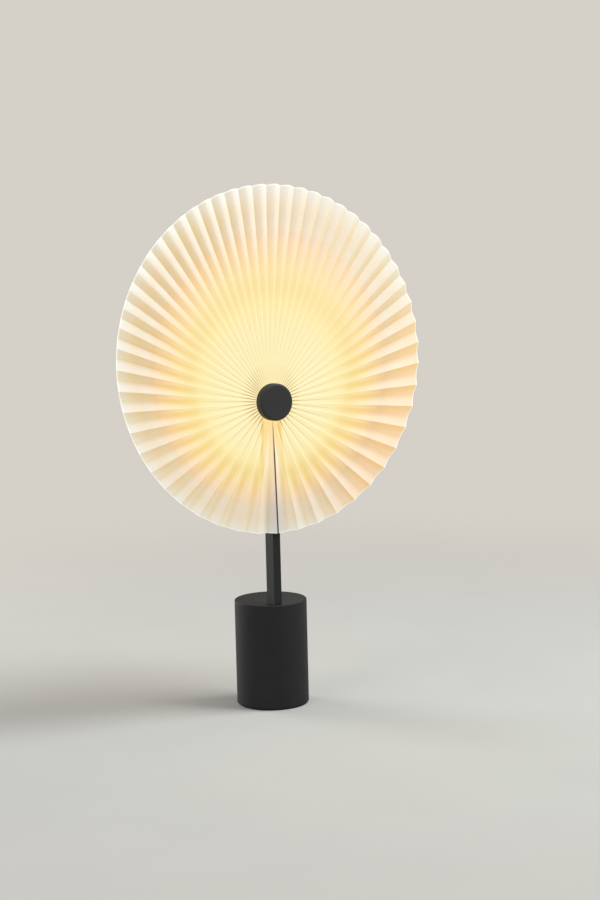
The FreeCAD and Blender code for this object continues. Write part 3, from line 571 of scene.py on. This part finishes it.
class LAMP_OT_coated_metal(bpy.types.Operator):
    """Gives the can, the bar, the bottom plate and the hub cap their dark finishes"""

    bl_idname = "lamp.coated_metal"
    bl_label = "Coated Metal"

    def execute(self, context):
        colours = context.scene.lamp_colours
        # Powder coat on steel: an even satin black whose baked grain of 1.4 mm breaks up the highlights.
        coat = grained(
            "Satin Powder Coat", colours.coat, 1.4, 0.10, (0.62, 0.72), 0.05, Specular_IOR_Level=0.25)
        dress(coat, "base_shell", "bottom_plate", "stem_bar")
        # Blasted and anodised aluminium: a flat dark grey with a very fine grain.
        cap = grained(
            "Black Anodised Aluminium", colours.cap, 0.9, 0.08, (0.55, 0.65), 0.04, Specular_IOR_Level=0.35)
        dress(cap, "hub_cap")
        return {"FINISHED"}


class LAMP_OT_light_head(bpy.types.Operator):
    """Finishes the light head behind the hub, with its lit ring"""

    bl_idname = "lamp.light_head"
    bl_label = "Light Head"

    def execute(self, context):
        # Moulded ABS with a spark-eroded texture of about 1 mm.
        shell = grained("Textured Black ABS", "#222224", 1.0, 0.12, (0.5, 0.65), 0.15, IOR=1.53)
        dress(shell, "head_housing")
        # Opal acrylic with the light on: even, warm and bright.
        opal = grained(
            "Opal Acrylic", "#EFE9DC", 6.0, 0.03, (0.3, 0.36), 0.02, IOR=1.49, Emission_Strength=1.2,
            Emission_Color=linear("#FFE2A8"))
        opal.cycles.emission_sampling = "NONE"
        dress(opal, "diffuser_ring")
        # Silicone with phosphor over the chips, lit.
        chip = grained(
            "Phosphor Silicone", "#F0C75A", 0.8, 0.1, (0.35, 0.5), 0.05, IOR=1.41, Emission_Strength=2.0,
            Emission_Color=linear("#FFE9B8"))
        chip.cycles.emission_sampling = "NONE"
        dress(chip, "leds")
        # White solder mask over an aluminium-backed board.
        mask = grained("White Solder Mask", "#E8E8E4", 2.0, 0.04, (0.35, 0.45), 0.04, IOR=1.5)
        dress(mask, "led_board")
        return {"FINISHED"}


class LAMP_OT_small_parts(bpy.types.Operator):
    """Finishes the shade's collar and strips, the button, the inlet, the screws and what the can holds"""

    bl_idname = "lamp.small_parts"
    bl_label = "Small Parts"

    def execute(self, context):
        # Zinc-plated steel: bluish grey, bright, with faint drawn marks.
        zinc = grained("Zinc-Plated Steel", "#C4C6C9", 1.2, 0.08, (0.28, 0.42), 0.06, Metallic=1.0)
        dress(zinc, "plate_screws", "cell_tabs", "board_screws", "usb_socket", "pivot_post", "pivot_nut",
              "head_screws", "hub_spindle")
        # Nickel plating over sintered magnets: brighter and a little warm.
        nickel = grained("Nickel Plating", "#D2CFC8", 1.0, 0.05, (0.18, 0.3), 0.03, Metallic=1.0)
        dress(nickel, "seam_magnets", "cap_magnet")
        # Cast iron, as cast: dark grey and sandy.
        iron = grained("Cast Iron", "#5A5957", 1.6, 0.2, (0.6, 0.8), 0.4, Metallic=0.6)
        dress(iron, "ballast_disc")
        # Silicone rubber, matt black with a dusty bloom.
        rubber = grained("Silicone Rubber", "#1A1A1A", 1.5, 0.15, (0.75, 0.9), 0.1, IOR=1.41)
        dress(rubber, "foot_pad")
        # Smooth moulded polycarbonate for the key that is pressed.
        key = grained("Matt Polycarbonate", "#262628", 1.2, 0.08, (0.42, 0.5), 0.04, IOR=1.58)
        dress(key, "power_button")
        # Black nylon for the parts inside.
        nylon = grained("Moulded Nylon", "#3A3A3D", 1.8, 0.1, (0.5, 0.62), 0.08, IOR=1.53)
        dress(nylon, "battery_holder", "tact_switch", "switch_plunger", "pivot_bush", "friction_washer")
        # Off-white acetal for the collar that the folds are glued to.
        acetal = grained("Acetal", "#DDD7CA", 2.0, 0.05, (0.4, 0.5), 0.05, IOR=1.48)
        dress(acetal, "shade_collar")
        # Pressed grey-white board for the stiff strips at the seam.
        board = grained("Pressed Board", "#D6CFBF", 1.5, 0.08, (0.75, 0.9), 0.15, IOR=1.45)
        dress(board, "seam_strips")
        # Shrink film on the cells: glossy blue.
        wrap = grained("Shrink Film", "#2F5F92", 3.0, 0.08, (0.2, 0.3), 0.03, IOR=1.5)
        dress(wrap, "battery_cells")
        # Green solder mask on glass-fibre board.
        green = grained("Green Solder Mask", "#1F5A3A", 1.2, 0.15, (0.3, 0.45), 0.08, IOR=1.5)
        dress(green, "control_board")
        # Clear polycarbonate rod that carries the charging light.
        rod = grained(
            "Clear Polycarbonate", "#DDE4E6", 4.0, 0.03, (0.08, 0.15), 0.02, IOR=1.58,
            Transmission_Weight=0.6)
        dress(rod, "charge_light_pipe")
        # PVC insulation on the wires.
        vinyl = grained("PVC Insulation", "#1E1E1F", 1.0, 0.1, (0.35, 0.45), 0.04, IOR=1.53)
        dress(vinyl, "stem_wires", "base_leads")
        return {"FINISHED"}


def floor_surface(radius, turns=96, rings=24):
    """A flat disc: rings whose radius grows with the square of their share, round a full turn."""
    share = (np.arange(rings + 1) / rings) ** 2
    turn = np.linspace(0, 2 * np.pi, turns + 1)
    r, a = np.meshgrid(share * radius, turn, indexing="ij")
    points = np.stack([r * np.cos(a), r * np.sin(a), np.zeros_like(r)], axis=2)
    return points.reshape(-1, 3), grid_quads(rings + 1, turns + 1)


floor_radius = 30.0
floor_mottle = 120 * mm
floor_tones = (0.86, 0.90)
floor_fade = (0.3, 1.1)
aim_rise = Vector((0, 0, 0.03))
# Each light's name, size and distance in metres, way from the shade, and colour.
studio_lights = (
    ("key", 0.9, 1.7, (0.52, -0.35, 0.77), (0.87, 0.95, 1.0)),
    ("side", 0.8, 1.6, (-0.93, -0.30, 0.20), (0.93, 0.97, 1.0)),
    ("edge", 0.8, 1.6, (-0.42, 0.90, 0.10), (0.93, 0.97, 1.0)),
)


class LAMP_OT_studio(bpy.types.Operator):
    """Sets up the pale floor, the soft lights, the world and the camera"""

    bl_idname = "lamp.studio"
    bl_label = "Studio"

    def execute(self, context):
        scene = context.scene
        levels, pale = scene.lamp_studio, linear(scene.lamp_colours.floor)
        scene.view_settings.view_transform = "Standard"

        points, quads = floor_surface(floor_radius)
        points[:, 2] = cad_box[0].z
        floor = put_mesh("studio_floor", points, quads)
        # Matt painted floor that fades into the backdrop's own tone well away from the lamp.
        material, tree, shader = finish("Matt Floor Paint", Roughness=0.9)
        place = add(tree, "ShaderNodeTexCoord").outputs["Object"]
        mottle = add(tree, "ShaderNodeTexNoise", {
            "Vector": place, "Scale": 1 / floor_mottle, "Detail": 3.0}).outputs["Fac"]
        dark, light = (tuple(c * tone for c in pale[:3]) + (1.0,) for tone in floor_tones)
        tone = add(tree, "ShaderNodeValToRGB", {"Fac": mottle}, stops=((0.2, dark), (0.8, light)))
        tree.links.new(tone.outputs["Color"], shader.inputs["Base Color"])
        away = add(tree, "ShaderNodeVectorMath", {0: place}, operation="LENGTH").outputs["Value"]
        fade = add(tree, "ShaderNodeMapRange", {
            "Value": away, **span(floor_fade)}, interpolation_type="SMOOTHSTEP").outputs["Result"]
        backdrop = add(tree, "ShaderNodeEmission", {"Color": pale, "Strength": 1.0})
        both = add(tree, "ShaderNodeMixShader", {0: fade, 1: shader.outputs[0], 2: backdrop.outputs[0]})
        output = next(n for n in tree.nodes if n.type == "OUTPUT_MATERIAL")
        tree.links.new(both.outputs[0], output.inputs["Surface"])
        floor.data.materials.append(material)

        world = bpy.data.worlds.new("Soft Studio")
        scene.world = world
        world.use_nodes = True
        tree = world.node_tree
        tree.nodes.clear()
        path = add(tree, "ShaderNodeLightPath")
        seen = add(tree, "ShaderNodeMath", {
            0: path.outputs["Is Camera Ray"],
            1: path.outputs["Is Glossy Ray"]}, operation="MAXIMUM").outputs[0]
        seen = add(tree, "ShaderNodeMath", {
            0: seen, 1: path.outputs["Is Transmission Ray"]}, operation="MAXIMUM").outputs[0]
        even = add(tree, "ShaderNodeBackground", {"Color": (1, 1, 1, 1), "Strength": levels.fill})
        shown = add(tree, "ShaderNodeBackground", {"Color": pale, "Strength": 1.0})
        both = add(tree, "ShaderNodeMixShader", {0: seen, 1: even.outputs[0], 2: shown.outputs[0]})
        add(tree, "ShaderNodeOutputWorld", {"Surface": both.outputs[0]})

        aim = Vector(scene.lamp_shade.hub) + aim_rise
        for name, size, distance, way, colour in studio_lights:
            light = bpy.data.lights.new(name + "_light", "AREA")
            light.energy, light.size, light.color = getattr(levels, name + "_power"), size, colour
            lamp = bpy.data.objects.new(name + "_light", light)
            scene.collection.objects.link(lamp)
            place = aim + Vector(way) * distance
            turn = (aim - place).to_track_quat("-Z", "Y").to_matrix().to_4x4()
            lamp.matrix_world = Matrix.Translation(place) @ turn

        ahead = Vector((
            math.sin(levels.heading) * math.cos(levels.pitch),
            math.cos(levels.heading) * math.cos(levels.pitch), -math.sin(levels.pitch)))
        level = Vector((math.cos(levels.heading), -math.sin(levels.heading), 0))
        over = level.cross(ahead)
        right = level * math.cos(levels.roll) - over * math.sin(levels.roll)
        up = level * math.sin(levels.roll) + over * math.cos(levels.roll)
        turn = Matrix((right, up, -ahead)).transposed().to_4x4()
        camera = bpy.data.objects.new("camera", bpy.data.cameras.new("camera"))
        camera.data.lens, camera.data.sensor_width = levels.lens, 36.0
        camera.data.clip_end = 100.0
        camera.matrix_world = Matrix.Translation(Vector(levels.eye)) @ turn
        scene.collection.objects.link(camera)
        scene.camera = camera
        return {"FINISHED"}


steps = (LAMP_OT_studio, LAMP_OT_pleated_sheet, LAMP_OT_coated_metal, LAMP_OT_light_head, LAMP_OT_small_parts)


class LAMP_PT_sidebar(bpy.types.Panel):
    """Lists the lamp's values and steps"""

    bl_label = "Fan Shade Lamp"
    bl_space_type = "VIEW_3D"
    bl_region_type = "UI"
    bl_category = "Lamp"

    def draw(self, context):
        for group in (context.scene.lamp_shade, context.scene.lamp_colours, context.scene.lamp_studio):
            box = self.layout.box()
            for name in group.__annotations__:
                box.prop(group, name)
        for step in steps:
            self.layout.operator(step.bl_idname)


groups = {"lamp_shade": ShadeSizes, "lamp_colours": LampColours, "lamp_studio": StudioLevels}


def register():
    """Registers the classes and hangs the value groups on the scene."""
    for part in (*groups.values(), *steps, LAMP_PT_sidebar):
        bpy.utils.register_class(part)
    for name, group in groups.items():
        setattr(bpy.types.Scene, name, bpy.props.PointerProperty(type=group))


def unregister():
    """Takes the value groups off the scene and unregisters the classes."""
    for name in groups:
        delattr(bpy.types.Scene, name)
    for part in reversed((*groups.values(), *steps, LAMP_PT_sidebar)):
        bpy.utils.unregister_class(part)


def main():
    """Registers the add-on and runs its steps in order."""
    register()
    for step in steps:
        area, name = step.bl_idname.split(".")
        getattr(getattr(bpy.ops, area), name)()


if __name__ == "__main__":
    main()
